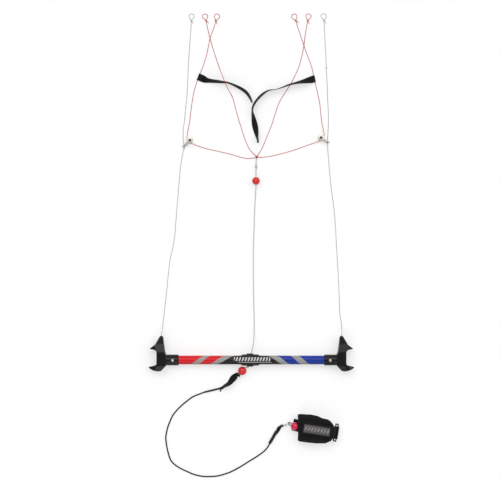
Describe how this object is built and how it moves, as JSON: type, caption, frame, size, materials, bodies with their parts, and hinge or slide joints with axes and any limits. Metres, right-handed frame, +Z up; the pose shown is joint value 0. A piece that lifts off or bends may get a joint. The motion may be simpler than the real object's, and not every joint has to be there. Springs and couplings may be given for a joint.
{
  "type": "trainer kite control bar and line set",
  "caption": "Trainer kite control bar laid out flat, with winder ends, leader and brake lines on small pulleys, landing strap, safety line with stopper balls and a wrist leash.",
  "frame": {"origin": "on the ground below the middle of the bar", "axes": "+X along the bar towards its blue grip, +Y along the lines towards the kite, +Z up from the ground that everything lies on"},
  "size_m": [0.58, 1.3119, 0.0335],
  "materials": {
    "anodised_alloy": "satin anodised tube",
    "red_grip": "matt printed grip, red with grey stripes",
    "blue_grip": "matt printed grip, blue with grey stripes",
    "black_nylon": "moulded, fine texture",
    "glossy_black_nylon": "moulded, semi-gloss",
    "stainless_steel": "tumbled stainless steel",
    "blackened_steel": "blackened",
    "ivory_acetal": "turned acetal",
    "closed_cell_foam": "foam",
    "white_leader_line": "braided line",
    "white_safety_line": "braided line",
    "red_brake_line": "braided line",
    "black_cord": "braided cord",
    "black_webbing": "woven webbing",
    "shrink_sleeve": "satin sleeve",
    "red_ball": "glossy moulded ball",
    "crimson_ball": "glossy moulded ball",
    "black_neoprene": "laminated neoprene",
    "grey_patch": "satin woven patch"
  },
  "bodies": {
    "lines": {"left_leader_lower": "white_leader_line", "right_leader_lower": "white_leader_line", "left_leader_upper": "white_leader_line", "right_leader_upper": "white_leader_line", "right_leader_mid_knot": "white_leader_line", "leader_end_loops": "white_leader_line", "brake_end_loops": "red_brake_line", "left_inner_brake_line": "red_brake_line", "left_outer_brake_line": "red_brake_line", "right_outer_brake_line": "red_brake_line", "right_inner_brake_line": "red_brake_line", "left_pulley_frame": "stainless_steel", "left_pulley_axle": "blackened_steel", "left_pulley_tie": "black_cord", "right_pulley_frame": "stainless_steel", "right_pulley_axle": "blackened_steel", "right_pulley_tie": "black_cord", "left_strap_end": "black_webbing", "right_strap_end": "black_webbing", "left_strap": "black_webbing", "right_strap": "black_webbing", "junction_knot": "red_brake_line", "safety_line": "white_safety_line", "stop_knot": "white_safety_line", "safety_line_end_knot": "white_safety_line", "leash_webbing_loop": "black_webbing", "leash_knot": "black_cord", "leash_sleeve_front": "shrink_sleeve", "leash_cord": "black_cord", "leash_sleeve_rear": "shrink_sleeve", "swivel_eye": "stainless_steel", "swivel_ring": "stainless_steel"},
    "bar": {"bar_tube": "anodised_alloy", "left_grip": "red_grip", "right_grip": "blue_grip", "centre_moulding": "black_nylon", "line_guide": "black_nylon", "left_winder": "glossy_black_nylon", "right_winder": "glossy_black_nylon", "winder_screws": "stainless_steel", "winder_nuts": "stainless_steel", "left_tube_plug": "closed_cell_foam", "right_tube_plug": "closed_cell_foam", "left_leader_knot": "white_leader_line", "right_leader_knot": "white_leader_line"},
    "left_sheave": {"left_pulley_sheave": "ivory_acetal"},
    "right_sheave": {"right_pulley_sheave": "ivory_acetal"},
    "upper_stopper": {"upper_ball": "red_ball"},
    "lower_stopper": {"lower_ball": "red_ball"},
    "swivel": {"swivel_barrel": "stainless_steel"},
    "cuff": {"release_loop": "black_cord", "cuff_tab": "black_webbing", "cuff_body": "black_neoprene", "closure_ring": "black_nylon"},
    "release": {"release_ball": "crimson_ball", "release_pin": "stainless_steel"},
    "closure": {"closure_strap": "black_webbing", "closure_patch": "grey_patch"}
  },
  "joints": [
    {"name": "bar_slide", "type": "slide", "parent": "lines", "child": "bar", "axis": [0.0347, 0.9994, 0], "range_m": [0, 0.475], "deforming": ["left_leader_lower", "right_leader_lower", "safety_line"]},
    {"name": "left_sheave_turn", "type": "hinge", "parent": "lines", "child": "left_sheave", "pos_m": [-0.174, 0.62, 0.006], "axis": [0, 0, 1], "continuous": true},
    {"name": "right_sheave_turn", "type": "hinge", "parent": "lines", "child": "right_sheave", "pos_m": [0.197, 0.627, 0.006], "axis": [0, 0, 1], "continuous": true},
    {"name": "upper_ball_slide", "type": "slide", "parent": "lines", "child": "upper_stopper", "axis": [0, 1, 0], "range_m": [0, 0.022]},
    {"name": "lower_ball_turn", "type": "hinge", "parent": "lines", "child": "lower_stopper", "pos_m": [-0.026, -0.031, 0.01225], "axis": [-0.7071, -0.7071, 0], "continuous": true},
    {"name": "swivel_turn", "type": "hinge", "parent": "lines", "child": "swivel", "pos_m": [0.0945, -0.1843, 0.0053], "axis": [0.9563, 0.2924, 0], "continuous": true},
    {"name": "cuff_swing", "type": "hinge", "parent": "lines", "child": "cuff", "pos_m": [0.1068, -0.1805, 0.0053], "axis": [0, 0, 1], "range_deg": [-25, 25]},
    {"name": "release_pull", "type": "slide", "parent": "cuff", "child": "release", "axis": [0, 0, 1], "range_m": [0, 0.014]},
    {"name": "closure_open", "type": "hinge", "parent": "cuff", "child": "closure", "pos_m": [0.241, -0.205, 0.017], "axis": [0.1564, 0.9877, 0], "range_deg": [0, 165]}
  ]
}
